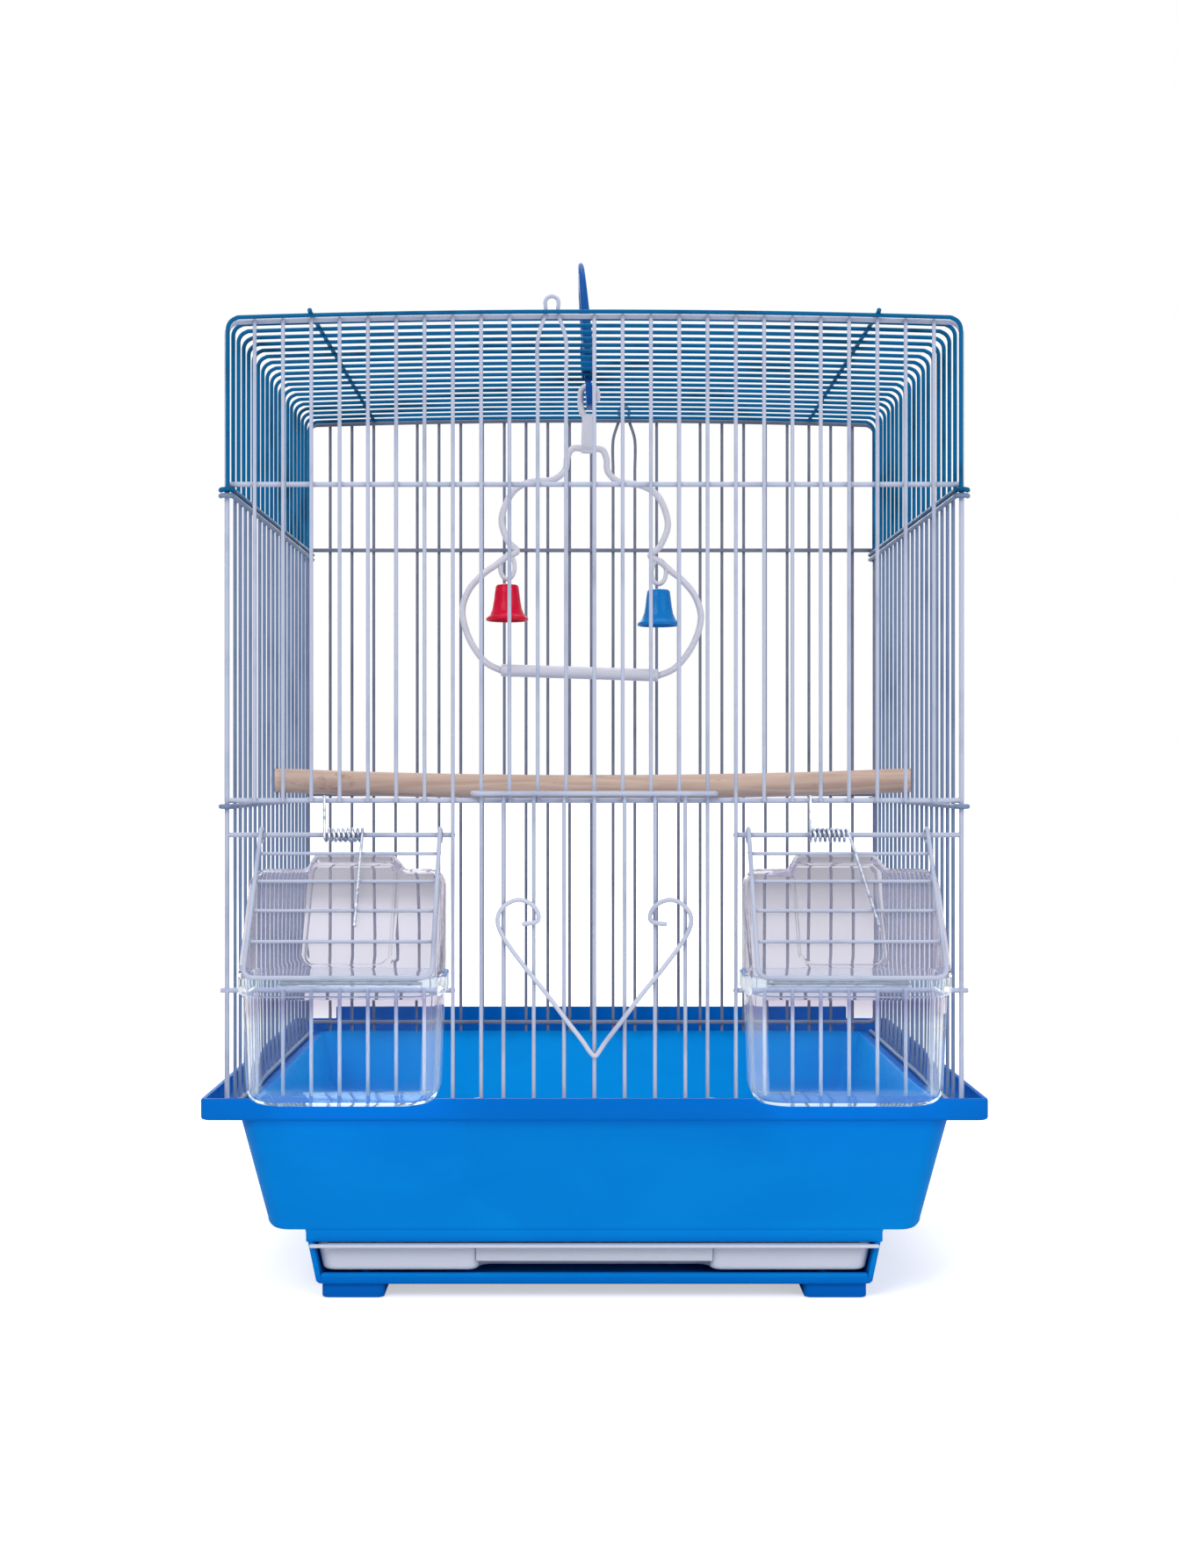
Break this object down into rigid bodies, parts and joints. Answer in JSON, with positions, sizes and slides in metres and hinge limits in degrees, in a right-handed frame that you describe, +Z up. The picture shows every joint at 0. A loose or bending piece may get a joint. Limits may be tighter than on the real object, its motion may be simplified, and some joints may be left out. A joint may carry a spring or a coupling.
{
  "type": "travel bird cage",
  "caption": "Small wire bird cage on a blue plastic tray with a litter drawer, a lift door, clear hooded feeders, a perch, a swing with bells and a carrying handle.",
  "frame": {"origin": "on the surface that the feet stand on, under the middle of the whole cage's bounding box", "axes": "+Z up, -Y to the front with the door, feeders and drawer front, +X to the right seen from the front"},
  "size_m": [0.303, 0.2606, 0.4314],
  "materials": {
    "coated_wire": "smooth pale lilac-white coating",
    "roof_coat": "smooth deep blue coating",
    "handle_plastic": "moulded, slightly glossy",
    "tray_plastic": "moulded, slightly glossy",
    "drawer_plastic": "moulded, satin",
    "clear_plastic": "clear, polished",
    "pale_wood": "sanded, unvarnished",
    "milky_plastic": "slightly translucent",
    "red_plastic": "glossy",
    "blue_plastic": "glossy",
    "spring_steel": "dark, bright where bent"
  },
  "bodies": {
    "tray": {"base_tray": "tray_plastic"},
    "drawer": {"litter_drawer": "drawer_plastic"},
    "cage": {"front_panel": "coated_wire", "back_panel": "coated_wire", "left_panel": "coated_wire", "right_panel": "coated_wire", "roof_panel": "roof_coat", "left_spring": "spring_steel", "right_spring": "spring_steel", "left_cup": "clear_plastic", "right_cup": "clear_plastic", "left_hood": "clear_plastic", "right_hood": "clear_plastic", "wooden_perch": "pale_wood", "handle": "handle_plastic"},
    "door": {"lift_door": "coated_wire", "door_heart": "coated_wire"},
    "flap_left": {"left_flap": "coated_wire"},
    "flap_right": {"right_flap": "coated_wire"},
    "swing": {"swing_frame": "milky_plastic", "swing_perch": "milky_plastic"},
    "bell_red": {"red_bell": "red_plastic"},
    "bell_blue": {"blue_bell": "blue_plastic"}
  },
  "joints": [
    {"name": "drawer_slide", "type": "slide", "parent": "tray", "child": "drawer", "axis": [0, -1, 0], "range_m": [0, 0.15]},
    {"name": "cage_lift", "type": "slide", "parent": "tray", "child": "cage", "axis": [0, 0, 1], "range_m": [0, 0.1]},
    {"name": "door_slide", "type": "slide", "parent": "cage", "child": "door", "axis": [0, 0, 1], "range_m": [0, 0.1]},
    {"name": "left_flap_hinge", "type": "hinge", "parent": "cage", "child": "flap_left", "pos_m": [-0.09475, -0.08918, 0.1809], "axis": [-1, 0, 0], "range_deg": [0, 100], "stiffness_Nm_per_rad": 0.012, "springref_deg": -40.11, "deforming": ["left_spring"]},
    {"name": "right_flap_hinge", "type": "hinge", "parent": "cage", "child": "flap_right", "pos_m": [0.09475, -0.08918, 0.1809], "axis": [-1, 0, 0], "range_deg": [0, 100], "stiffness_Nm_per_rad": 0.012, "springref_deg": -40.11, "deforming": ["right_spring"]},
    {"name": "swing_hinge", "type": "hinge", "parent": "cage", "child": "swing", "pos_m": [-0.00162, 0.01162, 0.37475], "axis": [1, 0, 0], "range_deg": [-25, 25]},
    {"name": "red_bell_hinge", "type": "hinge", "parent": "swing", "child": "bell_red", "pos_m": [-0.03811, 0.01162, 0.29131], "axis": [1, 0, 0], "range_deg": [-30, 30]},
    {"name": "blue_bell_hinge", "type": "hinge", "parent": "swing", "child": "bell_blue", "pos_m": [0.02926, 0.01162, 0.28908], "axis": [1, 0, 0], "range_deg": [-30, 30]}
  ]
}
